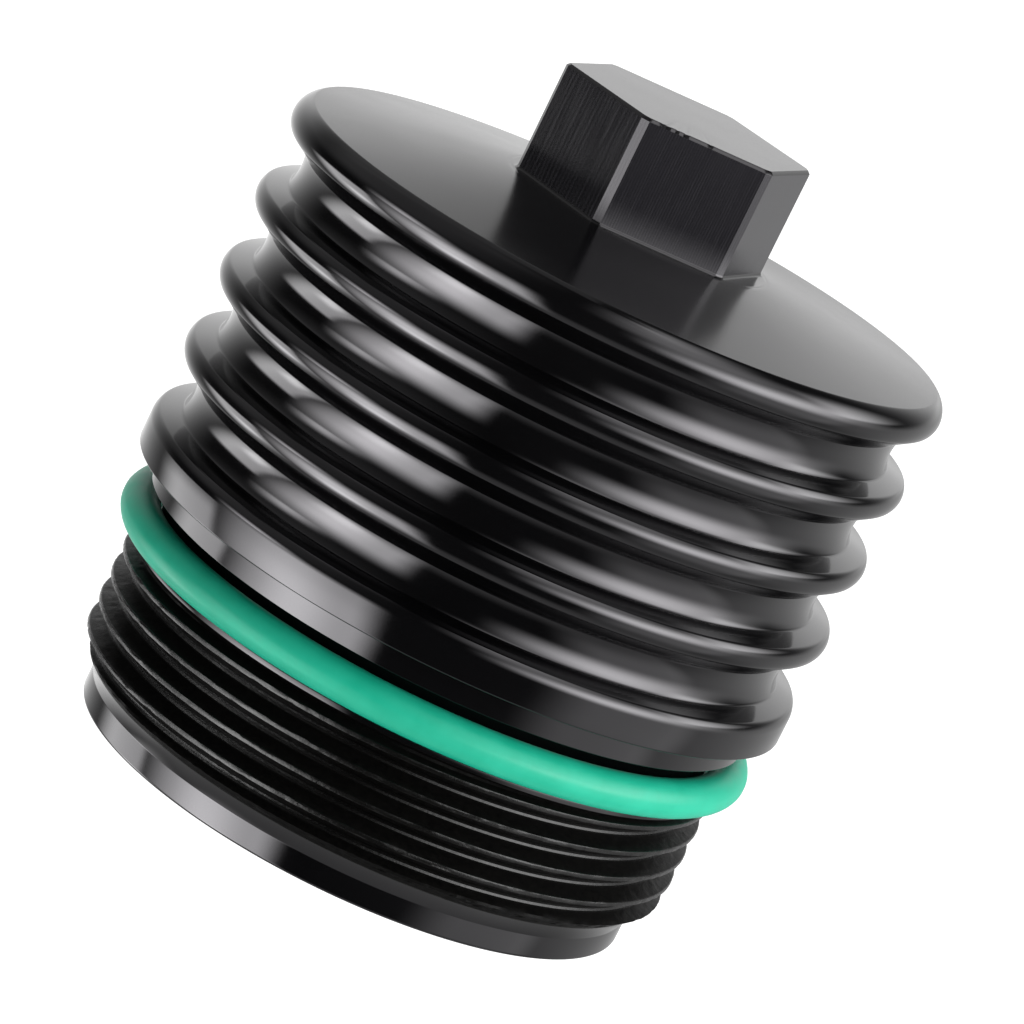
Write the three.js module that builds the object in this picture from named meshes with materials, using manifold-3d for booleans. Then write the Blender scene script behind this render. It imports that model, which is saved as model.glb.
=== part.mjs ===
// Cartridge oil filter module: a machined screw-on cap with ribs, a hexagon drive, a cover O-ring and a
// coarse external thread. Inside it hangs a free-turning support core with a spring-loaded bypass valve,
// and on the core sits a pleated filter element that pulls off downwards.
// Units are millimetres, +Z is up, and the origin is the centre of the cap's open rim.

import * as THREE from "three";
import { mergeVertices } from "three/addons/utils/BufferGeometryUtils.js";
import Module from "manifold-3d";

const wasm = await Module();
wasm.setup();

// ---------------------------------------------------------------- driving dimensions

const FIT_GAP = 0.3; // free space between pieces that bear on each other
const SMOOTH_SIDES = 48; // facets round the cap
const INNER_SIDES = 32; // facets round the pieces inside it

// Cap, outside
const BODY_RADIUS = 54; // over the ribs
const RIB_PITCH = 12.7;
const RIB_COUNT = 5;
const RIB_DEPTH = 4.64;
const RIB_CREST = { flat: 0.6, half: 1.75, drop: 0.61 }; // half widths, and the fall to where a flank starts
const RIB_VALLEY = { aboveCrest: 5.66, half: 2.9, depth: 4.02 }; // middle, half width, and depth at a flank
const TOP_RIB_Z = 94.84;
const CROWN_RIM = { radius: 53.4, z: 96.8 }; // halfway round from the top rib to the crown's edge
const CROWN_EDGE = { radius: 51.9, z: 98.1 }; // crisp edge where the top face starts
const CROWN_FLAT = { radius: 21.3, z: 102 }; // flat turned round the hexagon's foot
const HEX_FLATS = 36; // across flats
const HEX_FACET = 1.4; // width of the flat on each corner
const HEX_TOP = 119.6;
const HEX_CHAMFER = 0.5;
const HEX_ROOT = 3; // how far the hexagon's solid reaches down into the crown
const SKIRT_BOTTOM = 39.8;
const SKIRT_CHAMFER = 0.4;
const NECK_RADIUS = 50;
const GROOVE = { radius: 46.3, bottom: 27.4, top: 35.5 }; // for the cover O-ring
const LAND = { radius: 48.9, bottom: 26.6 }; // collar under the O-ring
const THREAD = { crest: 49.3, root: 46.7, pitch: 4.4, bottom: 6.9, top: 25.7, crestAtZeroAngle: 8.3 };
const THREAD_ROWS_PER_PITCH = 5;
const ROUND_OFF = 0.01; // slack when heights are compared
const PILOT = { radius: 45.5, top: 3.9, chamfer: 0.6, coneTop: 6.3, coneRadius: 46.6 };

// Cap, inside
const BORE_RADIUS = 41.5;
const BORE_CHAMFER = 0.7;
const ROOF_Z = 90;
const ROOF_FILLET = { reach: 5.5, corner: 1.6 };
const BOSS = { radius: 15, bottom: 78, fillet: 2 };
const SOCKET = { radius: 10.3, top: 89.8 };
const RING_GROOVE = { radius: 11.4, bottom: 86.5, top: 88.1, floorInCore: 8.7 };
const SNAP_RING = { inner: 9, opening: 0.3, segments: 14 }; // the opening is half its gap, in radians
const END_GAP = 0.4; // free space at the end of the core's spigot and outside the thrust washer

// Cover O-ring
const O_RING = { centreRadius: 49.7, wire: 6.16, z: 30.8 };

// Support core and its head, which is also the bypass valve's housing
const CORE = { outer: 17, inner: 15, bottom: 6, shoulder: 57.7 };
const CAGE = { inner: 14.5, roof: 74, top: 76.4, seatLedge: 58 };
const VALVE_BORE = { inner: 12.9, outer: 14.7, bottom: 41.6, lip: 12.2, lipTop: 42.6 };
const CAGE_WINDOW = { width: 9, bottom: 63, top: 71, pairs: 3 };
const CORE_WINDOW = { width: 6, height: 5, firstZ: 14.5, stepZ: 7.5, rows: 4, pairs: 4 };
const OUTLET_SEAL = { centreRadius: 14.5, wire: 2.2, z: 9.5, slack: 0.4 };

// Bypass valve
const SEAT = { bore: 8, bottom: 58.3, top: 61.3, chamfer: 1 };
const POPPET = { radius: 11, bottom: 55.4, top: 57.5, stemRadius: 2.4, stemBottom: 41.5 };
const POPPET_NOSE = { base: 7, tip: 4.5, top: 60.2 };
const POPPET_SEAL = { inner: 8.4, outer: 10.2, bottom: 57, top: 58 };
const RETAINER = { bottom: 42.9, top: 44.4, rimInner: 10.2, hub: 4.6, hubTop: 47, spokes: 3, spokeWidth: 3 };
const SPOKE_LAP = { hub: 0.8, rim: 1 }; // how far each spoke runs into the hub and the rim
const SPRING = { radius: 8.2, wire: 1.4, turns: 4, sides: 8, stepsPerTurn: 14 };

// Filter element
const DISC = { outer: 38, inner: 20.3, plate: 2.7, rimInner: 36.7, rimHeight: 5 };
const ELEMENT = { bottom: 8, top: 59.1 };
const LUG = { reach: 40.7, width: 8, height: 2.4, count: 6, lap: 1 };
const PLEATS = { count: 36, outer: 35.9, inner: 20.9, paper: 0.9 };
const BAND = { inner: 36.2, outer: 37, width: 3, centres: [20, 33.5, 47] };
const LIP = { inner: 17.3, shoulder: 18.3, outer: 20 };
const LOWER_LIP = { bottom: 7.3, top: 11.2, lipZ: 8.8 };
const UPPER_LIP = { bottom: 57, top: 61, lipZ: 58.9 };
const SEAM = { start: 29.5, half: 0.9, nose: 0.7, wall: 0.5, bend: 0.2, inset: 0.5, endGap: 1 };

// ---------------------------------------------------------------- materials

function finish(color, roughness, metalness) {
  return new THREE.MeshStandardMaterial({ color, roughness, metalness });
}

const BLACK_ANODISED = finish(0x1c1c1f, 0.34, 0.9);
const GREEN_RUBBER = finish(0x2fc9a0, 0.45, 0);
const SPRING_STEEL = finish(0xa9abad, 0.35, 1);
const VALVE_BRASS = finish(0xb89a55, 0.35, 1);
const CORE_NYLON = finish(0x2c2e31, 0.55, 0);
const DISC_NYLON = finish(0xd9d6cb, 0.55, 0);
const BLACK_RUBBER = finish(0x151515, 0.75, 0);
const FILTER_PAPER = finish(0xe3d2a4, 0.9, 0);
const BAND_GLUE = finish(0xf1ead6, 0.6, 0);

// ---------------------------------------------------------------- geometry helpers

// Keeps only the positions, shares equal corners and drops triangles that have collapsed to a line.
function closed(geometry) {
  geometry.deleteAttribute("normal");
  geometry.deleteAttribute("uv");
  const merged = mergeVertices(geometry);
  const corners = merged.index.array;
  const kept = [];
  for (let i = 0; i < corners.length; i += 3) {
    const [a, b, c] = [corners[i], corners[i + 1], corners[i + 2]];
    if (a !== b && b !== c && c !== a) kept.push(a, b, c);
  }
  merged.setIndex(kept);
  return merged;
}

function solid(geometry) {
  const shape = closed(geometry);
  return new wasm.Manifold(
    new wasm.Mesh({
      numProp: 3,
      vertProperties: new Float32Array(shape.attributes.position.array),
      triVerts: new Uint32Array(shape.index.array),
    }),
  );
}

function geometryOf(manifold) {
  const mesh = manifold.getMesh();
  const geometry = new THREE.BufferGeometry();
  geometry.setAttribute("position", new THREE.BufferAttribute(mesh.vertProperties, 3));
  geometry.setIndex(new THREE.BufferAttribute(mesh.triVerts, 1));
  return geometry;
}

// A solid of revolution about Z. The outline is [radius, z] pairs that run up the outside.
function turned(outline, sides) {
  const points = outline.map(([radius, z]) => new THREE.Vector2(radius, z));
  return new THREE.LatheGeometry(points, sides).rotateX(Math.PI / 2);
}

// A turned ring whose section is the closed outline given.
function ring(outline, sides) {
  return turned([...outline, outline[0]], sides);
}

function box(width, depth, bottom, top) {
  return new THREE.BoxGeometry(width, depth, top - bottom).translate(0, 0, (top + bottom) / 2);
}

// Cuts openings right across a turned piece, evenly spaced round it.
function cutAcross(body, span, width, bottom, top, pairs, firstAngle = 0) {
  let left = body;
  for (let i = 0; i < pairs; i += 1) {
    const cutter = box(span, width, bottom, top).rotateZ(firstAngle + (i * Math.PI) / pairs);
    left = left.subtract(solid(cutter));
  }
  return left;
}

function namedMesh(name, geometry, material) {
  const mesh = new THREE.Mesh(closed(geometry), material);
  mesh.name = name;
  return mesh;
}

// ---------------------------------------------------------------- cap

// Tight crests and wide valleys with the upper flanks the steeper. The lowest rib runs straight down into the
// skirt, and the top one turns over into the crown.
function ribOutline() {
  const outline = [];
  for (let i = RIB_COUNT - 1; i >= 0; i -= 1) {
    const z = TOP_RIB_Z - i * RIB_PITCH;
    if (i < RIB_COUNT - 1) {
      const valley = z - RIB_PITCH + RIB_VALLEY.aboveCrest;
      outline.push([BODY_RADIUS - RIB_DEPTH, valley]);
      outline.push([BODY_RADIUS - RIB_VALLEY.depth, valley + RIB_VALLEY.half]);
      outline.push([BODY_RADIUS - RIB_CREST.drop, z - RIB_CREST.half]);
      outline.push([BODY_RADIUS, z - RIB_CREST.flat]);
    }
    outline.push([BODY_RADIUS, z + RIB_CREST.flat]);
    if (i > 0) {
      outline.push([BODY_RADIUS - RIB_CREST.drop, z + RIB_CREST.half]);
      outline.push([BODY_RADIUS - RIB_VALLEY.depth, z + RIB_VALLEY.aboveCrest - RIB_VALLEY.half]);
    }
  }
  return outline;
}

// Heights at which the thread is sampled.
function threadHeights() {
  const rows = Math.round(((THREAD.top - THREAD.bottom) / THREAD.pitch) * THREAD_ROWS_PER_PITCH);
  return Array.from({ length: rows + 1 }, (_, i) => THREAD.bottom + ((THREAD.top - THREAD.bottom) * i) / rows);
}

// Radius of the right-hand thread at a height and an angle about Z: broad round crests, narrow roots,
// with the first turn chamfered.
function threadRadius(z, angle) {
  const phase = (z - THREAD.crestAtZeroAngle) / THREAD.pitch - angle / (2 * Math.PI);
  const wave = Math.sqrt(0.5 + 0.5 * Math.cos(2 * Math.PI * phase));
  const chamfer = THREAD.root + Math.max(0, z - PILOT.coneTop);
  return Math.min(THREAD.root + (THREAD.crest - THREAD.root) * wave, chamfer);
}

function cutThread(geometry) {
  const position = geometry.attributes.position;
  for (let i = 0; i < position.count; i += 1) {
    const [x, y, z] = [position.getX(i), position.getY(i), position.getZ(i)];
    const outside = Math.hypot(x, y) > PILOT.radius;
    const onThread = outside && z > THREAD.bottom - ROUND_OFF && z < THREAD.top + ROUND_OFF;
    if (!onThread) continue;
    const angle = Math.atan2(y, x);
    const radius = threadRadius(z, angle);
    position.setXY(i, radius * Math.cos(angle), radius * Math.sin(angle));
  }
  return geometry;
}

function capOutline() {
  const inside = [
    [0, SOCKET.top],
    [SOCKET.radius, SOCKET.top],
    [SOCKET.radius, RING_GROOVE.top],
    [RING_GROOVE.radius, RING_GROOVE.top],
    [RING_GROOVE.radius, RING_GROOVE.bottom],
    [SOCKET.radius, RING_GROOVE.bottom],
    [SOCKET.radius, BOSS.bottom],
    [BOSS.radius, BOSS.bottom],
    [BOSS.radius, ROOF_Z - BOSS.fillet],
    [BOSS.radius + BOSS.fillet, ROOF_Z],
    [BORE_RADIUS - ROOF_FILLET.reach, ROOF_Z],
    [BORE_RADIUS - ROOF_FILLET.corner, ROOF_Z - ROOF_FILLET.corner],
    [BORE_RADIUS, ROOF_Z - ROOF_FILLET.reach],
    [BORE_RADIUS, BORE_CHAMFER],
    [BORE_RADIUS + BORE_CHAMFER, 0],
  ];
  const pilot = [
    [PILOT.radius - PILOT.chamfer, 0],
    [PILOT.radius, PILOT.chamfer],
    [PILOT.radius, PILOT.top],
    [PILOT.coneRadius, PILOT.coneTop],
  ];
  const thread = threadHeights().map((z) => [THREAD.root, z]);
  const neck = [
    [LAND.radius, LAND.bottom],
    [LAND.radius, GROOVE.bottom],
    [GROOVE.radius, GROOVE.bottom],
    [GROOVE.radius, GROOVE.top],
    [NECK_RADIUS, GROOVE.top],
    [NECK_RADIUS, SKIRT_BOTTOM],
    [BODY_RADIUS - SKIRT_CHAMFER, SKIRT_BOTTOM],
    [BODY_RADIUS, SKIRT_BOTTOM + SKIRT_CHAMFER],
  ];
  const crown = [
    [CROWN_RIM.radius, CROWN_RIM.z],
    [CROWN_EDGE.radius, CROWN_EDGE.z],
    [CROWN_FLAT.radius, CROWN_FLAT.z],
    [0, CROWN_FLAT.z],
  ];
  return [...inside, ...pilot, ...thread, ...neck, ...ribOutline(), ...crown];
}

// Hexagon with a flat facing -Y and a narrow flat on each corner.
function hexagonDrive() {
  const corner = HEX_FLATS / Math.sqrt(3);
  const back = HEX_FACET / 2 / Math.sin(Math.PI / 3); // from the sharp corner along each side
  const shape = new THREE.Shape();
  for (let i = 0; i < 6; i += 1) {
    const angle = (i * Math.PI) / 3;
    const tip = new THREE.Vector2(corner * Math.cos(angle), corner * Math.sin(angle));
    for (const side of [-1, 1]) {
      const other = angle + (side * Math.PI) / 3;
      const next = new THREE.Vector2(corner * Math.cos(other), corner * Math.sin(other));
      const point = tip.clone().lerp(next, back / corner);
      if (i === 0 && side === -1) shape.moveTo(point.x, point.y);
      else shape.lineTo(point.x, point.y);
    }
  }
  const foot = CROWN_FLAT.z - HEX_ROOT;
  return new THREE.ExtrudeGeometry(shape, {
    depth: HEX_TOP - foot - 2 * HEX_CHAMFER,
    bevelEnabled: true,
    bevelThickness: HEX_CHAMFER,
    bevelSize: HEX_CHAMFER,
    bevelOffset: -HEX_CHAMFER,
    bevelSegments: 1,
  }).translate(0, 0, foot + HEX_CHAMFER);
}

function capShell() {
  const bowl = cutThread(turned(capOutline(), SMOOTH_SIDES));
  return geometryOf(solid(bowl).add(solid(hexagonDrive())));
}

function torus({ centreRadius, wire, z }, sectionSides, sides) {
  const outline = Array.from({ length: sectionSides }, (_, i) => {
    const angle = (2 * Math.PI * i) / sectionSides;
    return [centreRadius + (wire / 2) * Math.cos(angle), z + (wire / 2) * Math.sin(angle)];
  });
  return ring(outline, sides);
}

// Open snap ring that sits half in the cap's groove and half in the core's.
function retainingRing() {
  const outer = RING_GROOVE.radius - FIT_GAP;
  const { inner, opening, segments } = SNAP_RING;
  const shape = new THREE.Shape();
  shape.absarc(0, 0, outer, opening, 2 * Math.PI - opening, false);
  shape.absarc(0, 0, inner, 2 * Math.PI - opening, opening, true);
  const bottom = RING_GROOVE.bottom + FIT_GAP;
  const depth = RING_GROOVE.top - FIT_GAP - bottom;
  const options = { depth, bevelEnabled: false, curveSegments: segments };
  return new THREE.ExtrudeGeometry(shape, options).translate(0, 0, bottom);
}

function thrustWasher() {
  const [inner, outer] = [SOCKET.radius + FIT_GAP, BOSS.radius - END_GAP];
  const [bottom, top] = [CAGE.top + FIT_GAP, BOSS.bottom - FIT_GAP];
  return ring([[inner, bottom], [outer, bottom], [outer, top], [inner, top]], INNER_SIDES);
}

// ---------------------------------------------------------------- support core and bypass valve

// Head of the core: a spigot that turns in the cap's socket, a windowed cage, and the valve's bore.
function coreHead() {
  const spigot = SOCKET.radius - FIT_GAP;
  const neck = RING_GROOVE.floorInCore;
  const outline = [
    [0, CAGE.roof],
    [CAGE.inner, CAGE.roof],
    [CAGE.inner, CAGE.seatLedge],
    [VALVE_BORE.inner, CAGE.seatLedge],
    [VALVE_BORE.inner, VALVE_BORE.lipTop],
    [VALVE_BORE.lip, VALVE_BORE.lipTop],
    [VALVE_BORE.lip, VALVE_BORE.bottom],
    [VALVE_BORE.outer, VALVE_BORE.bottom],
    [VALVE_BORE.outer, CORE.shoulder],
    [CORE.outer, CORE.shoulder],
    [CORE.outer, CAGE.top],
    [spigot, CAGE.top],
    [spigot, RING_GROOVE.bottom - FIT_GAP],
    [neck, RING_GROOVE.bottom - FIT_GAP],
    [neck, RING_GROOVE.top + FIT_GAP],
    [spigot, RING_GROOVE.top + FIT_GAP],
    [spigot, SOCKET.top - END_GAP],
    [0, SOCKET.top - END_GAP],
  ];
  const body = solid(turned(outline, INNER_SIDES));
  const { width, bottom, top, pairs } = CAGE_WINDOW;
  return geometryOf(cutAcross(body, 3 * CORE.outer, width, bottom, top, pairs));
}

// Perforated tube that keeps the element from collapsing, with a seal groove near its outlet end.
function supportCore() {
  const groove = OUTLET_SEAL.centreRadius + OUTLET_SEAL.wire / 2 + FIT_GAP;
  const grooveHalf = OUTLET_SEAL.wire / 2 + OUTLET_SEAL.slack;
  const top = CORE.shoulder - FIT_GAP;
  let body = solid(
    ring(
      [
        [CORE.outer, CORE.bottom],
        [CORE.outer, top],
        [CORE.inner, top],
        [CORE.inner, OUTLET_SEAL.z + grooveHalf],
        [groove, OUTLET_SEAL.z + grooveHalf],
        [groove, OUTLET_SEAL.z - grooveHalf],
        [CORE.inner, OUTLET_SEAL.z - grooveHalf],
        [CORE.inner, CORE.bottom],
      ],
      INNER_SIDES,
    ),
  );
  for (let row = 0; row < CORE_WINDOW.rows; row += 1) {
    const middle = CORE_WINDOW.firstZ + row * CORE_WINDOW.stepZ;
    const [bottom, upper] = [middle - CORE_WINDOW.height / 2, middle + CORE_WINDOW.height / 2];
    const turn = row % 2 ? Math.PI / CORE_WINDOW.pairs / 2 : 0;
    body = cutAcross(body, 3 * CORE.outer, CORE_WINDOW.width, bottom, upper, CORE_WINDOW.pairs, turn);
  }
  return geometryOf(body);
}

function valveSeatRing() {
  const outer = CAGE.inner - FIT_GAP;
  return ring(
    [
      [SEAT.bore, SEAT.bottom],
      [outer, SEAT.bottom],
      [outer, SEAT.top],
      [SEAT.bore + SEAT.chamfer, SEAT.top],
      [SEAT.bore, SEAT.top - SEAT.chamfer],
    ],
    INNER_SIDES,
  );
}

function bypassPoppet() {
  const [inner, outer] = [POPPET_SEAL.inner - FIT_GAP, POPPET_SEAL.outer + FIT_GAP];
  const grooveFloor = POPPET_SEAL.bottom - FIT_GAP;
  return turned(
    [
      [0, POPPET.stemBottom],
      [POPPET.stemRadius, POPPET.stemBottom],
      [POPPET.stemRadius, POPPET.bottom],
      [POPPET.radius, POPPET.bottom],
      [POPPET.radius, POPPET.top],
      [outer, POPPET.top],
      [outer, grooveFloor],
      [inner, grooveFloor],
      [inner, POPPET.top],
      [POPPET_NOSE.base, POPPET.top],
      [POPPET_NOSE.tip, POPPET_NOSE.top],
      [0, POPPET_NOSE.top],
    ],
    INNER_SIDES,
  );
}

function poppetSeal() {
  const { inner, outer, bottom, top } = POPPET_SEAL;
  return ring([[inner, bottom], [outer, bottom], [outer, top], [inner, top]], INNER_SIDES);
}

// Spoked ring that carries the spring and guides the poppet's stem.
function springRetainer() {
  const rimOuter = VALVE_BORE.inner - FIT_GAP;
  const guide = POPPET.stemRadius + FIT_GAP;
  const { bottom, top, rimInner, hub, hubTop, spokes, spokeWidth } = RETAINER;
  const rim = solid(ring([[rimInner, bottom], [rimOuter, bottom], [rimOuter, top], [rimInner, top]], INNER_SIDES));
  let body = rim.add(solid(ring([[guide, bottom], [hub, bottom], [hub, hubTop], [guide, hubTop]], INNER_SIDES)));
  const [start, end] = [guide + SPOKE_LAP.hub, rimOuter - SPOKE_LAP.rim];
  for (let i = 0; i < spokes; i += 1) {
    const spoke = box(end - start, spokeWidth, bottom, top).translate((start + end) / 2, 0, 0);
    body = body.add(solid(spoke.rotateZ((2 * Math.PI * i) / spokes)));
  }
  return geometryOf(body);
}

class Helix extends THREE.Curve {
  constructor(radius, bottom, top, turns) {
    super();
    Object.assign(this, { radius, bottom, top, turns });
  }

  getPoint(t, target = new THREE.Vector3()) {
    const angle = 2 * Math.PI * this.turns * t;
    const z = this.bottom + (this.top - this.bottom) * t;
    return target.set(this.radius * Math.cos(angle), this.radius * Math.sin(angle), z);
  }
}

function bypassSpring() {
  const { radius, wire, turns, sides, stepsPerTurn } = SPRING;
  const low = RETAINER.top + FIT_GAP + wire / 2;
  const high = POPPET.bottom - FIT_GAP - wire / 2;
  const section = new THREE.Shape();
  for (let i = 0; i < sides; i += 1) {
    const angle = (2 * Math.PI * i) / sides;
    const [x, y] = [(wire / 2) * Math.cos(angle), (wire / 2) * Math.sin(angle)];
    if (i === 0) section.moveTo(x, y);
    else section.lineTo(x, y);
  }
  return new THREE.ExtrudeGeometry(section, {
    steps: turns * stepsPerTurn,
    extrudePath: new Helix(radius, low, high, turns),
  });
}

// ---------------------------------------------------------------- filter element

// End disc as if at the bottom, rim upwards; the top one is the same disc turned over.
function endDiscOutline() {
  const { outer, inner, plate, rimInner, rimHeight } = DISC;
  return [
    [inner, 0],
    [outer, 0],
    [outer, rimHeight],
    [rimInner, rimHeight],
    [rimInner, plate],
    [inner, plate],
  ];
}

function lowerEndDisc() {
  let body = solid(ring(endDiscOutline(), INNER_SIDES).translate(0, 0, ELEMENT.bottom));
  const start = DISC.outer - LUG.lap;
  for (let i = 0; i < LUG.count; i += 1) {
    const lug = box(LUG.reach - start, LUG.width, ELEMENT.bottom, ELEMENT.bottom + LUG.height);
    lug.translate((LUG.reach + start) / 2, 0, 0).rotateZ((2 * Math.PI * i) / LUG.count);
    body = body.add(solid(lug));
  }
  return geometryOf(body);
}

function upperEndDisc() {
  return ring(endDiscOutline(), INNER_SIDES).rotateX(Math.PI).translate(0, 0, ELEMENT.top);
}

// Zigzag of folded paper as one closed band.
function pleatedMedia() {
  const { count, outer, inner, paper } = PLEATS;
  const step = (2 * Math.PI) / count;
  const onCircle = (radius, angle) => new THREE.Vector2(radius * Math.cos(angle), radius * Math.sin(angle));
  const outside = [];
  const inside = [];
  for (let i = 0; i < count; i += 1) {
    const peak = i * step;
    const valley = peak + step / 2;
    outside.push(onCircle(outer, peak - paper / outer), onCircle(outer, peak + paper / outer));
    outside.push(onCircle(inner + paper, valley));
    inside.push(onCircle(outer - paper, peak));
    inside.push(onCircle(inner, valley - paper / inner), onCircle(inner, valley + paper / inner));
  }
  const shape = new THREE.Shape(outside);
  shape.holes.push(new THREE.Path(inside));
  const bottom = ELEMENT.bottom + DISC.plate + FIT_GAP;
  const depth = ELEMENT.top - DISC.plate - FIT_GAP - bottom;
  return new THREE.ExtrudeGeometry(shape, { depth, bevelEnabled: false }).translate(0, 0, bottom);
}

// Folded metal strip in one valley of the pleats, closing the pleat pack's side seam.
function seamClip() {
  const { start, half, nose, wall, bend, inset, endGap } = SEAM;
  const end = PLEATS.outer - inset;
  const shape = new THREE.Shape([
    new THREE.Vector2(start, -nose),
    new THREE.Vector2(end, -half),
    new THREE.Vector2(end, -half + wall),
    new THREE.Vector2(start + wall, -bend),
    new THREE.Vector2(start + wall, bend),
    new THREE.Vector2(end, half - wall),
    new THREE.Vector2(end, half),
    new THREE.Vector2(start, nose),
  ]);
  const bottom = ELEMENT.bottom + DISC.rimHeight + endGap;
  const depth = ELEMENT.top - DISC.rimHeight - endGap - bottom;
  return new THREE.ExtrudeGeometry(shape, { depth, bevelEnabled: false })
    .translate(0, 0, bottom)
    .rotateZ(Math.PI / PLEATS.count);
}

function pleatBand(centre) {
  const { inner, outer, width } = BAND;
  const [bottom, top] = [centre - width / 2, centre + width / 2];
  return ring([[inner, bottom], [outer, bottom], [outer, top], [inner, top]], INNER_SIDES);
}

// Rubber ring in an end disc's bore; its lip wipes the core.
function lipSeal({ bottom, top, lipZ }) {
  const { inner, shoulder, outer } = LIP;
  return ring(
    [
      [inner, lipZ],
      [shoulder, bottom],
      [outer, bottom],
      [outer, top],
      [shoulder, top],
    ],
    INNER_SIDES,
  );
}

// ---------------------------------------------------------------- assembly

function group(...meshes) {
  const made = new THREE.Group();
  made.add(...meshes);
  return made;
}

const cap = group(
  namedMesh("cap_shell", capShell(), BLACK_ANODISED),
  namedMesh("cover_o_ring", torus(O_RING, 12, SMOOTH_SIDES), GREEN_RUBBER),
  namedMesh("core_retaining_ring", retainingRing(), SPRING_STEEL),
  namedMesh("thrust_washer", thrustWasher(), VALVE_BRASS),
);

const core = group(
  namedMesh("core_head", coreHead(), CORE_NYLON),
  namedMesh("support_core", supportCore(), CORE_NYLON),
  namedMesh("outlet_seal_ring", torus(OUTLET_SEAL, 8, INNER_SIDES), BLACK_RUBBER),
  namedMesh("valve_seat_ring", valveSeatRing(), VALVE_BRASS),
  namedMesh("spring_retainer", springRetainer(), VALVE_BRASS),
  namedMesh("bypass_spring", bypassSpring(), SPRING_STEEL),
  group(
    namedMesh("bypass_poppet", bypassPoppet(), CORE_NYLON),
    namedMesh("poppet_seal", poppetSeal(), BLACK_RUBBER),
  ),
);

const bandNames = ["pleat_band_lower", "pleat_band_middle", "pleat_band_upper"];
const element = group(
  namedMesh("lower_end_disc", lowerEndDisc(), DISC_NYLON),
  namedMesh("upper_end_disc", upperEndDisc(), DISC_NYLON),
  namedMesh("pleated_media", pleatedMedia(), FILTER_PAPER),
  namedMesh("seam_clip", seamClip(), SPRING_STEEL),
  namedMesh("lower_lip_seal", lipSeal(LOWER_LIP), BLACK_RUBBER),
  namedMesh("upper_lip_seal", lipSeal(UPPER_LIP), BLACK_RUBBER),
  ...BAND.centres.map((centre, i) => namedMesh(bandNames[i], pleatBand(centre), BAND_GLUE)),
);

export default group(cap, core, element);
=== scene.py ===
import math

import bmesh
import bpy
import numpy as np
from mathutils import Matrix, Vector, noise


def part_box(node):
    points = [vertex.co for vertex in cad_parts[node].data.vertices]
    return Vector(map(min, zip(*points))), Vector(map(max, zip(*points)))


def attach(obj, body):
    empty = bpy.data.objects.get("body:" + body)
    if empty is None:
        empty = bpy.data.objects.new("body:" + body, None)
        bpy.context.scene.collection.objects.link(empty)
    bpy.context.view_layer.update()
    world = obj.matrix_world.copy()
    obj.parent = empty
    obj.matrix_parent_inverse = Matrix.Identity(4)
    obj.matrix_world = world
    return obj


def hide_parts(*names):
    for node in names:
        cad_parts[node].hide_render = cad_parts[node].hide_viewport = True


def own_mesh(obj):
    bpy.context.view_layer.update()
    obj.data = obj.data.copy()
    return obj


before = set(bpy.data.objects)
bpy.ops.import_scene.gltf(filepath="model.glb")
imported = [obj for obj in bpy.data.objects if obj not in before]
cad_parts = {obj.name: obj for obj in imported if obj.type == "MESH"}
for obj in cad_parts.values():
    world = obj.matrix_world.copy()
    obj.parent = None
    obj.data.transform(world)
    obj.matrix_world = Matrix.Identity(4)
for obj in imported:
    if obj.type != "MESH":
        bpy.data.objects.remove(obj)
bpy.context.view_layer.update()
MM = 0.001


def box_mm(node):
    """A CAD node's lowest and highest corner, in millimetres."""
    low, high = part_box(node)
    return low / MM, high / MM


# ------------------------------------------------------------------ driving sizes, in millimetres

CAP_HIGH = box_mm("cap_shell")[1]
BODY_RADIUS = CAP_HIGH.x
HEX_TOP = CAP_HIGH.z
RIB_PITCH = 12.7
RIB_COUNT = 5
RIB_DEPTH = 4.64
RIB_CREST_ROUND, RIB_CREST_HALF = 2.83, 1.75
VALLEY_ROUND, VALLEY_HALF = 7.08, 2.89
VALLEY_ABOVE_CREST = 5.66
TOP_RIB_Z = 94.84
CROWN_EDGE = (51.9, 98.1)
CROWN_FLAT = (21.3, 102.0)
HEX_FLATS = 36.0
HEX_FACET = 1.4
SKIRT_BOTTOM = 39.8
NECK_RADIUS = 50.0
GROOVE_RADIUS, GROOVE_BOTTOM, GROOVE_TOP = 46.3, 27.4, 35.5
LAND_RADIUS, LAND_BOTTOM = 48.9, 26.6
THREAD_CREST, THREAD_ROOT, THREAD_PITCH = 49.3, 46.7, 4.4
THREAD_BOTTOM = 6.4
THREAD_CREST_AT_ZERO = 8.3
PILOT_RADIUS, PILOT_TOP = 45.5, 3.9
BORE_RADIUS, ROOF_Z = 41.5, 90.0

CAMERA_AZIMUTH = math.radians(-14.1)


# ------------------------------------------------------------------ mesh helpers

def fillet(corners, steps=5):
    """Points of an outline whose corners are (radius, z, rounding); a rounding of 0 stays sharp."""
    made = []
    count = len(corners)
    for i, (r, z, rounding) in enumerate(corners):
        here = Vector((r, z))
        if rounding == 0 or i in (0, count - 1):
            made.append((r, z))
            continue
        before = Vector(corners[i - 1][:2]) - here
        after = Vector(corners[i + 1][:2]) - here
        half = before.angle(after) / 2
        back = min(rounding / math.tan(half), 0.49 * before.length, 0.49 * after.length)
        radius = back * math.tan(half)
        centre = here + (before.normalized() + after.normalized()).normalized() * (radius / math.sin(half))
        start = here + before.normalized() * back - centre
        end = here + after.normalized() * back - centre
        turn = start.angle_signed(end)
        for k in range(steps + 1):
            angle = -turn * k / steps
            cos, sin = math.cos(angle), math.sin(angle)
            made.append((centre.x + start.x * cos - start.y * sin, centre.y + start.x * sin + start.y * cos))
    return made


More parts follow.
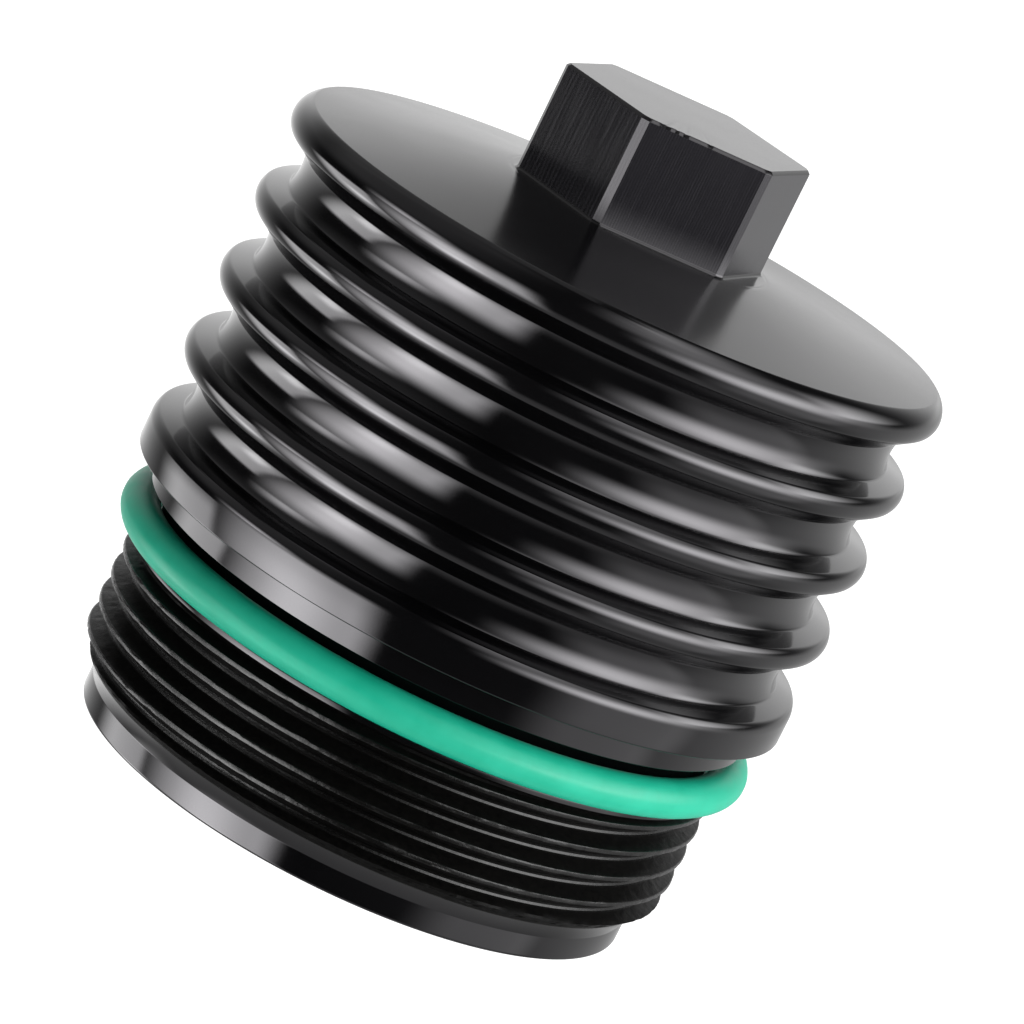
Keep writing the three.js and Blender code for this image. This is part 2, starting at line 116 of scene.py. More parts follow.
def arc(centre, radius, start, end, steps):
    """Points on an arc in the outline's plane; angles in degrees from the outward direction."""
    angles = np.radians(np.linspace(start, end, steps + 1))
    return [(centre[0] + radius * math.cos(a), centre[1] + radius * math.sin(a)) for a in angles]


def grid_faces(rows, columns, wrap):
    faces = []
    across = columns if wrap else columns - 1
    for i in range(rows - 1):
        for j in range(across):
            k = (j + 1) % columns
            faces.append((i * columns + j, i * columns + k, (i + 1) * columns + k, (i + 1) * columns + j))
    return faces


def object_from(name, points, faces, sharp=32):
    """An object from points in mm: shared corners merged, faces smooth, edges over sharp degrees crisp."""
    mesh = bpy.data.meshes.new(name)
    mesh.from_pydata([tuple(p) for p in np.asarray(points, float) * MM], [], faces)
    piece = bpy.data.objects.new(name, mesh)
    bpy.context.scene.collection.objects.link(piece)
    tidy(piece, sharp)
    return piece


def tidy(piece, sharp=32):
    work = bmesh.new()
    work.from_mesh(piece.data)
    bmesh.ops.remove_doubles(work, verts=work.verts, dist=2e-7)
    bmesh.ops.dissolve_degenerate(work, edges=work.edges, dist=1e-7)
    bmesh.ops.recalc_face_normals(work, faces=work.faces)
    limit = math.radians(sharp)
    for edge in work.edges:
        edge.smooth = len(edge.link_faces) == 2 and edge.calc_face_angle() < limit
    for face in work.faces:
        face.smooth = True
    work.to_mesh(piece.data)
    work.free()


def turned_points(outline, columns):
    angles = 2 * np.pi * np.arange(columns) / columns
    radius, z = np.array(outline, float).T
    x = radius[:, None] * np.cos(angles)
    y = radius[:, None] * np.sin(angles)
    return np.stack([x, y, np.broadcast_to(z[:, None], x.shape)], axis=-1)


def turned(name, outline, columns, sharp=32):
    """A solid of revolution about Z from an outline in millimetres."""
    outline = [*outline, outline[0]]
    points = turned_points(outline, columns)
    return object_from(name, points.reshape(-1, 3), grid_faces(len(outline), columns, True), sharp)


def block(name, low, high, angle=0.0):
    """A box in millimetres turned about Z, as a tool for cutting and joining."""
    work = bmesh.new()
    bmesh.ops.create_cube(work, size=1.0)
    low, high = Vector(low), Vector(high)
    for v in work.verts:
        p = Vector([(low[i] + high[i]) / 2 + v.co[i] * (high[i] - low[i]) for i in range(3)])
        cos, sin = math.cos(angle), math.sin(angle)
        v.co = Vector((p.x * cos - p.y * sin, p.x * sin + p.y * cos, p.z)) * MM
    mesh = bpy.data.meshes.new(name)
    work.to_mesh(mesh)
    work.free()
    tool = bpy.data.objects.new(name, mesh)
    bpy.context.scene.collection.objects.link(tool)
    return tool


def combine(piece, tools, operation, sharp=32):
    """Cuts or joins the piece with each tool in turn, and removes the tools."""
    for tool in tools:
        modifier = piece.modifiers.new("combine", "BOOLEAN")
        modifier.operation = operation
        modifier.solver = "EXACT"
        modifier.object = tool
        bpy.context.view_layer.update()
        evaluated = piece.evaluated_get(bpy.context.evaluated_depsgraph_get())
        made = bpy.data.meshes.new_from_object(evaluated)
        piece.modifiers.clear()
        piece.data = made
        bpy.data.objects.remove(tool)
    tidy(piece, sharp)
    return piece


def place(piece, body, slot, material, *nodes):
    """Gives the piece its material and body, and hides the CAD nodes that it stands for."""
    piece.data.materials.clear()
    piece.data.materials.append(material)
    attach(piece, body)
    if nodes:
        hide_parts(*nodes)
    return piece


# ------------------------------------------------------------------ material helpers

class Nodes:
    """A material's node tree with short calls for the nodes used here."""

    def __init__(self, name, **settings):
        self.material = bpy.data.materials.new(name)
        self.material.use_nodes = True
        self.tree = self.material.node_tree
        self.shader = self.tree.nodes["Principled BSDF"]
        for socket, value in settings.items():
            self.shader.inputs[socket.replace("_", " ")].default_value = value
        self.position = self.add("ShaderNodeTexCoord").outputs["Object"]

    def add(self, kind, **values):
        node = self.tree.nodes.new(kind)
        for key, value in values.items():
            setattr(node, key, value)
        return node

    def link(self, source, target):
        self.tree.links.new(source, target)

    def math(self, operation, a, b=0.0):
        node = self.add("ShaderNodeMath", operation=operation)
        for socket, value in zip(node.inputs, (a, b)):
            if isinstance(value, (int, float)):
                socket.default_value = value
            else:
                self.link(value, socket)
        return node.outputs[0]

    def noise(self, scale, detail=3.0, rough=0.55, stretch=None):
        node = self.add("ShaderNodeTexNoise")
        node.inputs["Scale"].default_value = scale
        node.inputs["Detail"].default_value = detail
        node.inputs["Roughness"].default_value = rough
        source = self.position
        if stretch:
            mapping = self.add("ShaderNodeMapping")
            mapping.inputs["Scale"].default_value = stretch
            self.link(source, mapping.inputs["Vector"])
            source = mapping.outputs["Vector"]
        self.link(source, node.inputs["Vector"])
        return node.outputs["Fac"]

    def spread(self, value, low, high, from_low=0.3, from_high=0.7):
        """Maps a value to the range low to high."""
        node = self.add("ShaderNodeMapRange")
        for socket, number in zip(list(node.inputs)[1:5], (from_low, from_high, low, high)):
            socket.default_value = number
        self.link(value, node.inputs["Value"])
        return node.outputs["Result"]

    def tint(self, value, first, second):
        node = self.add("ShaderNodeMix", data_type="RGBA")
        node.inputs[6].default_value = (*first, 1)
        node.inputs[7].default_value = (*second, 1)
        self.link(value, node.inputs[0])
        return node.outputs[2]

    def bump(self, height, distance, strength=1.0, below=None):
        node = self.add("ShaderNodeBump")
        node.inputs["Strength"].default_value = strength
        node.inputs["Distance"].default_value = distance
        self.link(height, node.inputs["Height"])
        if below is not None:
            self.link(below, node.inputs["Normal"])
        return node.outputs["Normal"]

    def coordinates(self):
        split = self.add("ShaderNodeSeparateXYZ")
        self.link(self.position, split.inputs[0])
        return split.outputs[0], split.outputs[1], split.outputs[2]

    def radius_and_height(self):
        x, y, z = self.coordinates()
        radius = self.math("SQRT", self.math("ADD", self.math("MULTIPLY", x, x), self.math("MULTIPLY", y, y)))
        return radius, z

    def set(self, socket, value):
        self.link(value, self.shader.inputs[socket])


ANODISED_SHEEN = (0.985, 0.96, 1.0, 1.0)


def anodised():
    """Black anodised aluminium: near-black dye under clear oxide, finely grained, duller on the crown."""
    m = Nodes("black_anodised_metal", Roughness=0.1, IOR=1.55, Specular_Tint=ANODISED_SHEEN)
    smudge = m.noise(45, 4)
    grain = m.noise(2600, 2)
    m.set("Base Color", m.tint(m.spread(smudge, 0, 1), (0.0012, 0.0012, 0.0014), (0.0026, 0.0025, 0.0028)))
    z = m.radius_and_height()[1]
    crown = m.spread(z, 0, 0.11, (CROWN_EDGE[1] - 0.3) * MM, CROWN_EDGE[1] * MM)
    satin = m.math("ADD", m.spread(smudge, 0.07, 0.105), m.spread(grain, -0.012, 0.012))
    m.set("Roughness", m.math("ADD", satin, crown))
    m.set("Normal", m.bump(grain, 0.000002, 0.6))
    return m.material


CUTTER_STEP = 0.00042


def milled():
    """The hexagon's faces: the same finish over fine upright cutter lines of uneven strength."""
    m = Nodes("black_anodised_milled", Roughness=0.18, IOR=1.55, Specular_Tint=ANODISED_SHEEN)
    scratches = m.noise(2400, 2, 0.4, (1, 1, 0.05))
    wander = m.math("MULTIPLY", m.noise(400, 2, 0.5, (1, 1, 0.3)), 5)
    across = m.math("MULTIPLY", m.coordinates()[0], 2 * math.pi / CUTTER_STEP)
    lines = m.math("SINE", m.math("ADD", across, wander))
    uneven = m.math("MULTIPLY", lines, m.spread(scratches, 0.3, 1))
    dark, light = (0.001, 0.001, 0.0014), (0.0145, 0.0135, 0.0175)
    m.set("Base Color", m.tint(m.spread(uneven, 0, 1, -1, 1), dark, light))
    m.set("Roughness", m.spread(scratches, 0.15, 0.2))
    m.set("Normal", m.bump(uneven, 0.000003, 0.8))
    return m.material


def threaded():
    """The same finish over the coarse thread: matt torn flanks between burnished crests and roots."""
    m = Nodes("black_anodised_thread", Roughness=0.3, IOR=1.4)
    pits = m.noise(1100, 5, 0.7)
    radius = m.radius_and_height()[0]
    crest = m.spread(radius, 0, 1, (THREAD_CREST - 0.22) * MM, (THREAD_CREST - 0.08) * MM)
    root = m.spread(radius, 1, 0, (THREAD_ROOT + 0.1) * MM, (THREAD_ROOT + 0.35) * MM)
    bright = m.math("MAXIMUM", crest, root)
    m.set("Base Color", m.tint(m.spread(pits, 0, 1), (0.001, 0.001, 0.001), (0.0042, 0.004, 0.0037)))
    m.set("Roughness", m.math("SUBTRACT", m.spread(pits, 0.44, 0.3), m.math("MULTIPLY", bright, 0.14)))
    m.set("Specular IOR Level", m.spread(bright, 0.08, 0.45, 0, 1))
    m.set("Normal", m.bump(pits, 0.00008, 0.8))
    return m.material


def rubber(name, dark, light, roughness):
    m = Nodes(name, Roughness=roughness, IOR=1.38)
    cloud = m.noise(220, 3)
    fine = m.noise(3500, 2)
    m.set("Base Color", m.tint(m.spread(cloud, 0, 1), dark, light))
    m.set("Roughness", m.spread(cloud, roughness - 0.05, roughness + 0.06))
    m.set("Normal", m.bump(fine, 0.000004, 0.5))
    return m.material


def metal(name, dark, light, roughness):
    m = Nodes(name, Roughness=roughness, Metallic=1.0)
    cloud = m.noise(160, 4)
    marks = m.noise(900, 3, 0.6, (1, 1, 14))
    m.set("Base Color", m.tint(m.spread(cloud, 0, 1), dark, light))
    m.set("Roughness", m.spread(marks, roughness - 0.07, roughness + 0.08))
    m.set("Normal", m.bump(marks, 0.000004, 0.6))
    return m.material


def moulded(name, dark, light, roughness):
    m = Nodes(name, Roughness=roughness, IOR=1.46)
    flow = m.noise(90, 5)
    fibres = m.noise(1500, 3, 0.6)
    m.set("Base Color", m.tint(m.spread(flow, 0, 1), dark, light))
    m.set("Roughness", m.spread(fibres, roughness - 0.06, roughness + 0.08))
    m.set("Normal", m.bump(fibres, 0.00001, 0.5))
    return m.material


def paper():
    m = Nodes("resin_cured_paper", Roughness=0.85)
    fibres = m.noise(1400, 5, 0.65, (1, 1, 0.35))
    stain = m.noise(60, 3)
    mixed = m.math("ADD", m.math("MULTIPLY", fibres, 0.6), m.math("MULTIPLY", stain, 0.4))
    m.set("Base Color", m.tint(m.spread(mixed, 0, 1), (0.62, 0.47, 0.23), (0.83, 0.72, 0.46)))
    z = m.radius_and_height()[1]
    crimp = m.math("SINE", m.math("MULTIPLY", z, 2 * math.pi / 0.0022))
    m.set("Normal", m.bump(fibres, 0.00004, 0.6, m.bump(crimp, 0.00012, 0.5)))
    return m.material


BLACK = anodised()
THREAD_BLACK = threaded()
MILLED_BLACK = milled()
GREEN = rubber("green_o_ring_rubber", (0.006, 0.345, 0.212), (0.011, 0.39, 0.245), 0.4)
BLACK_RUBBER = rubber("black_moulded_rubber", (0.012, 0.012, 0.012), (0.026, 0.026, 0.025), 0.55)
STEEL = metal("bright_spring_steel", (0.42, 0.42, 0.43), (0.62, 0.62, 0.63), 0.28)
BRASS = metal("turned_brass", (0.55, 0.38, 0.14), (0.72, 0.53, 0.22), 0.3)
CORE_NYLON = moulded("black_glass_filled_nylon", (0.012, 0.013, 0.014), (0.03, 0.031, 0.034), 0.42)
DISC_NYLON = moulded("natural_nylon", (0.58, 0.55, 0.47), (0.7, 0.68, 0.6), 0.45)
PAPER = paper()
GLUE = moulded("hot_melt_bead", (0.78, 0.72, 0.55), (0.88, 0.84, 0.7), 0.35)


# ------------------------------------------------------------------ cap

CAP_COLUMNS = 360
HEX_CORNER_COLUMN = CAP_COLUMNS // 6


def rib_outline():
    """From the skirt to the crown's crisp edge: tight crests, wide valleys, steeper upper flanks."""
    crest_centre = BODY_RADIUS - RIB_CREST_ROUND
    valley_centre = BODY_RADIUS - RIB_DEPTH + VALLEY_ROUND
    crest_lean = math.degrees(math.asin(RIB_CREST_HALF / RIB_CREST_ROUND))
    valley_lean = math.degrees(math.asin(VALLEY_HALF / VALLEY_ROUND))
    made = []
    for i in range(RIB_COUNT - 1, -1, -1):
        z = TOP_RIB_Z - i * RIB_PITCH
        low = -crest_lean if i < RIB_COUNT - 1 else 0
        high = crest_lean if i > 0 else 0
        made += arc((crest_centre, z), RIB_CREST_ROUND, low, high, 12)
        if i > 0:
            valley = (valley_centre, z + VALLEY_ABOVE_CREST)
            made += arc(valley, VALLEY_ROUND, 180 + valley_lean, 180 - valley_lean, 16)
    made = eased(made)
    rise, run = CROWN_EDGE[1] - TOP_RIB_Z, BODY_RADIUS - CROWN_EDGE[0]
    rim_round = (rise**2 + run**2) / (2 * run)
    end = math.degrees(math.asin(rise / rim_round))
    return made + arc((BODY_RADIUS - rim_round, TOP_RIB_Z), rim_round, 2, end, 18)


def eased(outline, reach=0.3, step=0.06):
    """The outline sampled finely and smoothed over a short reach, which rounds its corners slightly."""
    points = np.array(outline)
    along = np.concatenate([[0], np.cumsum(np.hypot(*np.diff(points, axis=0).T))])
    even = np.linspace(0, along[-1], round(along[-1] / step))
    fine = np.stack([np.interp(even, along, points[:, k]) for k in range(2)], axis=-1)
    half = round(reach / step)
    weights = np.hanning(2 * half + 3)[1:-1]
    weights /= weights.sum()
    padded = np.concatenate([np.repeat(fine[:1], half, 0), fine, np.repeat(fine[-1:], half, 0)])
    smooth = np.stack([np.convolve(padded[:, k], weights, "valid") for k in range(2)], axis=-1)
    return [tuple(p) for p in smooth[::3]]


def crown_outline():
    """Shallow cone from the crisp edge in to the flat round the hexagon, with a scribed line at its rim."""
    start, end = Vector(CROWN_EDGE), Vector(CROWN_FLAT)
    made = [tuple(start.lerp(end, t)) for t in (0.004, 0.012, 0.25, 0.5, 0.75, 0.97, 0.992)]
    radius, z = CROWN_FLAT
    return [*made, (radius + 0.1, z - 0.03), (radius, z - 0.035), (radius - 0.1, z), (radius - 0.5, z)]


def upper_outline():
    neck = fillet(
        [
            (LAND_RADIUS, LAND_BOTTOM, 0),
            (LAND_RADIUS, GROOVE_BOTTOM, 0.15),
            (GROOVE_RADIUS, GROOVE_BOTTOM, 0.4),
            (GROOVE_RADIUS, GROOVE_TOP, 0.4),
            (NECK_RADIUS, GROOVE_TOP, 0.18),
            (NECK_RADIUS, SKIRT_BOTTOM, 0.25),
            (BODY_RADIUS, SKIRT_BOTTOM, 0.3),
            (BODY_RADIUS, SKIRT_BOTTOM + 3, 0),
        ],
        4,
    )
    return neck + rib_outline() + crown_outline()


def lower_outline():
    """From the socket's roof on the axis, down the inside, round the rim and up to the thread."""
    socket, socket_roof = 10.3, 89.8
    groove, groove_bottom, groove_top = 11.4, 86.5, 88.1
    boss, boss_bottom = 15.0, 78.0
    return fillet(
        [
            (0, socket_roof, 0),
            (socket, socket_roof, 0.3),
            (socket, groove_top, 0.1),
            (groove, groove_top, 0.1),
            (groove, groove_bottom, 0.1),
            (socket, groove_bottom, 0.1),
            (socket, boss_bottom, 0.5),
            (boss, boss_bottom, 0.6),
            (boss, ROOF_Z, 2.0),
            (BORE_RADIUS, ROOF_Z, 5.5),
            (BORE_RADIUS, 0, 0.6),
            (PILOT_RADIUS, 0, 0.55),
            (PILOT_RADIUS, PILOT_TOP, 0.3),
            (THREAD_ROOT, THREAD_BOTTOM, 0),
        ],
        5,
    )


def soft_min(a, b, blend):
    mixed = np.clip(0.5 + 0.5 * (b - a) / blend, 0, 1)
    return b + (a - b) * mixed - blend * mixed * (1 - mixed)


def thread_radius(z, angle):
    """Right-hand 60 degree thread: narrow crests, round roots, first turn chamfered, last turn run out."""
    half_flat, crest_blend, root_blend = 0.34, 0.16, 0.5
    lead_in_slope, shoulder_slope = 1.15, 1.3
    turn = (z - THREAD_CREST_AT_ZERO) / THREAD_PITCH - angle / (2 * np.pi)
    from_crest = np.abs(turn - np.round(turn)) * THREAD_PITCH
    flank = THREAD_CREST - (from_crest - half_flat) / math.tan(math.radians(30))
    section = soft_min(flank, THREAD_CREST, crest_blend)
    section = -soft_min(-section, -THREAD_ROOT, root_blend)
    section = np.maximum(section, THREAD_ROOT)
    lead_in = THREAD_ROOT + np.maximum(0, z - THREAD_BOTTOM) * lead_in_slope
    run_out = LAND_RADIUS + (LAND_BOTTOM - z)
    left_over = LAND_RADIUS - (LAND_BOTTOM - z) * shoulder_slope
    return np.maximum(np.minimum(np.minimum(section, lead_in), run_out), left_over)


def thread_rows():
    """The thread as rows that climb with the helix; after a whole turn a row meets the one above it."""
    offsets = np.array([0, 0.2, 0.33, 0.5, 0.9, 1.3, 1.6, 1.85, 2.2, 2.55, 2.8, 3.1, 3.5, 3.9, 4.07, 4.2])
    first = math.floor((THREAD_BOTTOM - THREAD_CREST_AT_ZERO) / THREAD_PITCH) - 1
    last = math.ceil((LAND_BOTTOM - THREAD_CREST_AT_ZERO) / THREAD_PITCH) + 1
    starts = THREAD_CREST_AT_ZERO + THREAD_PITCH * np.arange(first, last)
    heights = (starts[:, None] + offsets[None, :]).ravel()
    angles = 2 * np.pi * np.arange(CAP_COLUMNS + 1) / CAP_COLUMNS
    z = np.clip(heights[:, None] + THREAD_PITCH * angles / (2 * np.pi), THREAD_BOTTOM, LAND_BOTTOM)
    radius = thread_radius(z, angles[None, :])
    return np.stack([radius * np.cos(angles), radius * np.sin(angles), z], axis=-1)


FLANK_TEARS, CREST_TEARS = 0.3, 0.12


def torn(points):
    """Small tears in the thread's flanks and crests, the same on each run."""
    for row in points:
        for p in row[:-1]:
            radius = math.hypot(p[0], p[1])
            height = (radius - THREAD_ROOT) / (THREAD_CREST - THREAD_ROOT)
            inside = min(1.0, (p[2] - THREAD_BOTTOM) / 0.6, (LAND_BOTTOM - p[2]) / 2.0)
            if height < 0.3 or inside <= 0:
                continue
            rough = noise.noise(Vector(p) * 1.4) + noise.noise(Vector(p) * 3.1)
            on_flank = 4 * height * (1 - height)
            depth = FLANK_TEARS * on_flank * abs(rough) + CREST_TEARS * height * max(0.0, rough)
            shrink = 1 - inside * depth / radius
            p[0] *= shrink
            p[1] *= shrink
    return points


def hex_row(grow, z):
    """One row of the hexagon, grown outwards, with its corners on fixed columns."""
    flat = HEX_FLATS / 2 + grow
    facet = HEX_FLATS / math.sqrt(3) - HEX_FACET / 2 / math.tan(math.radians(60)) + grow
    # angle from a corner's direction to the edge between its facet and the flat
    edge = math.atan((flat - facet * math.cos(math.radians(30))) / (facet * math.sin(math.radians(30))))
    points = []
    for j in range(CAP_COLUMNS):
        step = j % HEX_CORNER_COLUMN
        past = step > HEX_CORNER_COLUMN / 2
        corner = (j // HEX_CORNER_COLUMN + past) * math.radians(60)
        side = step - HEX_CORNER_COLUMN if past else step
        if abs(side) <= 2:
            away = edge * side / 2
            radius = facet / math.cos(away)
        else:
            share = (abs(side) - 2) / (HEX_CORNER_COLUMN / 2 - 2)
            away = math.copysign(edge + (math.radians(30) - edge) * share, side)
            radius = flat / math.cos(math.radians(30) - abs(away))
        points.append((radius * math.cos(corner + away), radius * math.sin(corner + away), z))
    return points


FRONT_EDGE_NICKS = {247: 0.16, 249: 0.3, 250: 0.22, 254: 0.24, 258: 0.32, 259: 0.2, 271: 0.14}


def nicked(rows):
    """Dents the hexagon's top front edge: how deep, by column round the cap."""
    for row in rows:
        for column, depth in FRONT_EDGE_NICKS.items():
            x, y, z = row[column]
            row[column] = (x, y + depth, z - depth * 0.4)


def hex_rows():
    """Foot fillet, faces, top chamfer and top face of the hexagon."""
    foot = 0.55
    base = CROWN_FLAT[1]
    rows = []
    for k in range(5):
        angle = math.radians(90 * k / 4)
        rows.append(hex_row(foot * (1 - math.sin(angle)), base + foot * (1 - math.cos(angle))))
    for share in (0.25, 0.5, 0.75):
        rows.append(hex_row(0, base + foot + (HEX_TOP - 0.5 - base - foot) * share))
    rows += [hex_row(0, HEX_TOP - 0.5), hex_row(-0.06, HEX_TOP - 0.4), hex_row(-0.42, HEX_TOP - 0.05)]
    rows.append(hex_row(-0.5, HEX_TOP))
    nicked(rows[-3:])
    rim = np.array(rows[-1])
    for share in (0.7, 0.4, 0.15, 0):
        rows.append(rim * (share, share, 0) + (0, 0, HEX_TOP))
    return np.array(rows)


def cap_body():
    lower = turned_points(lower_outline(), CAP_COLUMNS)
    thread = torn(thread_rows())
    upper = turned_points(upper_outline(), CAP_COLUMNS)
    upper = np.concatenate([upper, hex_rows()])
    points = [lower.reshape(-1, 3), thread.reshape(-1, 3), upper.reshape(-1, 3)]
    faces = grid_faces(len(lower), CAP_COLUMNS, True)
    shift = len(points[0])
    faces += [tuple(v + shift for v in f) for f in grid_faces(len(thread), CAP_COLUMNS + 1, False)]
    shift += len(points[1])
    faces += [tuple(v + shift for v in f) for f in grid_faces(len(upper), CAP_COLUMNS, True)]
    piece = object_from("cap_body", np.concatenate(points), faces, 24)
    place(piece, "cap", "black_anodised", BLACK, "cap_shell")
    piece.data.materials.append(THREAD_BLACK)
    piece.data.materials.append(MILLED_BLACK)
    for face in piece.data.polygons:
        x, y, z = face.center / MM
        outside = math.hypot(x, y) > BORE_RADIUS + 2
        if outside and THREAD_BOTTOM < z < LAND_BOTTOM:
            face.material_index = 1
        elif z > CROWN_FLAT[1] + 1 and abs(face.normal.z) < 0.1:
            face.material_index = 2
    return piece


def cover_o_ring():
    low, high = box_mm("cover_o_ring")
    wire = high.z - low.z
    centre = high.x - wire / 2
    outline = []
    ridge, ridge_at, ridge_width = 0.035, 12, 5
    for degrees in np.arange(0, 360, 7.5):
        seam = ridge * math.exp(-((min(degrees, 360 - degrees) - ridge_at) / ridge_width) ** 2)
        radius = wire / 2 - ridge + seam
        angle = math.radians(degrees)
        outline.append((centre + radius * math.cos(angle), (low.z + high.z) / 2 + radius * math.sin(angle)))
    return place(turned("cover_seal", outline, 384), "cap", "green_rubber", GREEN, "cover_o_ring")


# ------------------------------------------------------------------ turned rings and swept pieces

INNER_COLUMNS = 160


def ring_outline(corners, steps=4):
    """A closed outline whose corners can all be rounded: it starts and ends halfway along its last edge."""
    first, last = corners[0], corners[-1]
    middle = ((first[0] + last[0]) / 2, (first[1] + last[1]) / 2, 0)
    return fillet([middle, *corners, middle], steps)[:-1]


def rounded_ring(inner, outer, bottom, top, rounding):
    """Outline of a ring of rectangular section with rounded edges."""
    sides = [(inner, bottom), (outer, bottom), (outer, top), (inner, top)]
    return ring_outline([(r, z, rounding) for r, z in sides])


def circle_outline(centre, wire, z, sides=24):
    angles = 2 * np.pi * np.arange(sides) / sides
    return [(centre + wire / 2 * math.cos(a), z + wire / 2 * math.sin(a)) for a in angles]


def swept(name, sections, sharp=32):
    """A solid through closed sections of equal point counts, capped at both ends."""
    rows, columns = len(sections), len(sections[0])
    faces = grid_faces(rows, columns, True)
    faces.append(tuple(range(columns)))
    faces.append(tuple((rows - 1) * columns + j for j in range(columns)))
    return object_from(name, np.concatenate(sections), faces, sharp)


def window(span, width, bottom, top, rounding, angle):
    """A bar with rounded edges right across the axis, as a tool that cuts a pair of windows."""
    y, z = width / 2 - rounding, (top - bottom) / 2 - rounding
    middle = (top + bottom) / 2
    section = []
    for corner, (side, up) in enumerate(((1, 1), (-1, 1), (-1, -1), (1, -1))):
        for step in range(5):
            turn = math.radians(90 * corner + 22.5 * step)
            across = side * y + rounding * math.cos(turn)
            height = middle + up * z + rounding * math.sin(turn)
            section.append((across, height))
    cos, sin = math.cos(angle), math.sin(angle)
    ends = []
    for x in (-span / 2, span / 2):
        ends.append(np.array([(x * cos - a * sin, x * sin + a * cos, b) for a, b in section]))
    return swept("window", ends)


# ------------------------------------------------------------------ cap's inner pieces

def snap_ring():
    """Open ring of square wire with softened edges, half in the cap's groove and half in the core's."""
    low, high = box_mm("core_retaining_ring")
    outer, inner, opening = 11.1, 9.0, 0.3
    outline = np.array(rounded_ring(inner, outer, low.z, high.z, 0.18))
    sections = []
    for angle in np.linspace(opening, 2 * np.pi - opening, 120):
        r, z = outline.T
        sections.append(np.stack([r * math.cos(angle), r * math.sin(angle), z], axis=-1))
    place(swept("snap_ring", sections), "cap", "spring_steel", STEEL, "core_retaining_ring")


def washer():
    low, high = box_mm("thrust_washer")
    inner, outer = 10.6, 14.6
    outline = rounded_ring(inner, outer, low.z, high.z, 0.2)
    place(turned("bronze_washer", outline, INNER_COLUMNS), "cap", "valve_brass", BRASS, "thrust_washer")


# ------------------------------------------------------------------ support core

CORE_OUTER, CORE_INNER = 17.0, 15.0
CORE_SHOULDER = 57.7
CAGE_ROOF, CAGE_TOP = 74.0, 76.4
SEAL_RADIUS, SEAL_WIRE, SEAL_Z = 14.5, 2.2, 9.5
WINDOW_BAR = 60


def head_of_core():
    low, high = box_mm("core_head")
    cage_bore, valve_bore, lip = 14.5, 12.9, 12.2
    seat_step, retainer_step = 58.0, 42.6
    plug, neck, spigot = 14.7, 8.7, 10.0
    groove_bottom, groove_top = 86.2, 88.4
    outline = fillet(
        [
            (0, CAGE_ROOF, 0),
            (cage_bore, CAGE_ROOF, 1.2),
            (cage_bore, seat_step, 0.1),
            (valve_bore, seat_step, 0.2),
            (valve_bore, retainer_step, 0.1),
            (lip, retainer_step, 0.15),
            (lip, low.z, 0.15),
            (plug, low.z, 0.3),
            (plug, CORE_SHOULDER, 0.3),
            (CORE_OUTER, CORE_SHOULDER, 0.25),
            (CORE_OUTER, CAGE_TOP, 0.6),
            (spigot, CAGE_TOP, 0.4),
            (spigot, groove_bottom, 0.2),
            (neck, groove_bottom, 0.2),
            (neck, groove_top, 0.2),
            (spigot, groove_top, 0.2),
            (spigot, high.z, 0.8),
            (0, high.z, 0),
        ],
        4,
    )
    body = turned("core_cage", outline, INNER_COLUMNS)
    width, bottom, top, rounding = 9.0, 63.0, 71.0, 1.6
    tools = [window(WINDOW_BAR, width, bottom, top, rounding, i * math.pi / 3) for i in range(3)]
    combine(body, tools, "DIFFERENCE", 28)
    place(body, "core", "core_nylon", CORE_NYLON, "core_head")


def tube_of_core():
    """Perforated tube with rounded windows in staggered rows and a seal groove near its outlet."""
    low, high = box_mm("support_core")
    groove, half = SEAL_RADIUS + SEAL_WIRE / 2 + 0.3, SEAL_WIRE / 2 + 0.4
    outline = ring_outline(
        [
            (CORE_OUTER, low.z, 0.5),
            (CORE_OUTER, high.z, 0.25),
            (CORE_INNER, high.z, 0.25),
            (CORE_INNER, SEAL_Z + half, 0.15),
            (groove, SEAL_Z + half, 0.2),
            (groove, SEAL_Z - half, 0.2),
            (CORE_INNER, SEAL_Z - half, 0.15),
            (CORE_INNER, low.z, 0.5),
        ]
    )
    body = turned("core_tube", outline, INNER_COLUMNS)
    first_row, row_pitch = 14.5, 7.5
    width, half_height, rounding = 6.0, 2.5, 1.1
    tools = []
    for row in range(4):
        middle = first_row + row_pitch * row
        bottom, top = middle - half_height, middle + half_height
        turn = math.pi / 8 if row % 2 else 0
        for i in range(4):
            tools.append(window(WINDOW_BAR, width, bottom, top, rounding, turn + i * math.pi / 4))
    combine(body, tools, "DIFFERENCE", 28)
    place(body, "core", "core_nylon", CORE_NYLON, "support_core")


def outlet_seal():
    outline = circle_outline(SEAL_RADIUS, SEAL_WIRE, SEAL_Z)
    ring = turned("standpipe_seal", outline, INNER_COLUMNS)
    place(ring, "core", "black_rubber", BLACK_RUBBER, "outlet_seal_ring")


# ------------------------------------------------------------------ bypass valve

def seat():
    low, high = box_mm("valve_seat_ring")
    bore, outer, chamfer = 8.0, 14.2, 1.0
    outline = ring_outline(
        [
            (bore, low.z, 0.2),
            (outer, low.z, 0.3),
            (outer, high.z, 0.3),
            (bore + chamfer, high.z, 0.1),
            (bore, high.z - chamfer, 0.1),
        ]
    )
    place(turned("valve_seat", outline, INNER_COLUMNS), "core", "valve_brass", BRASS, "valve_seat_ring")


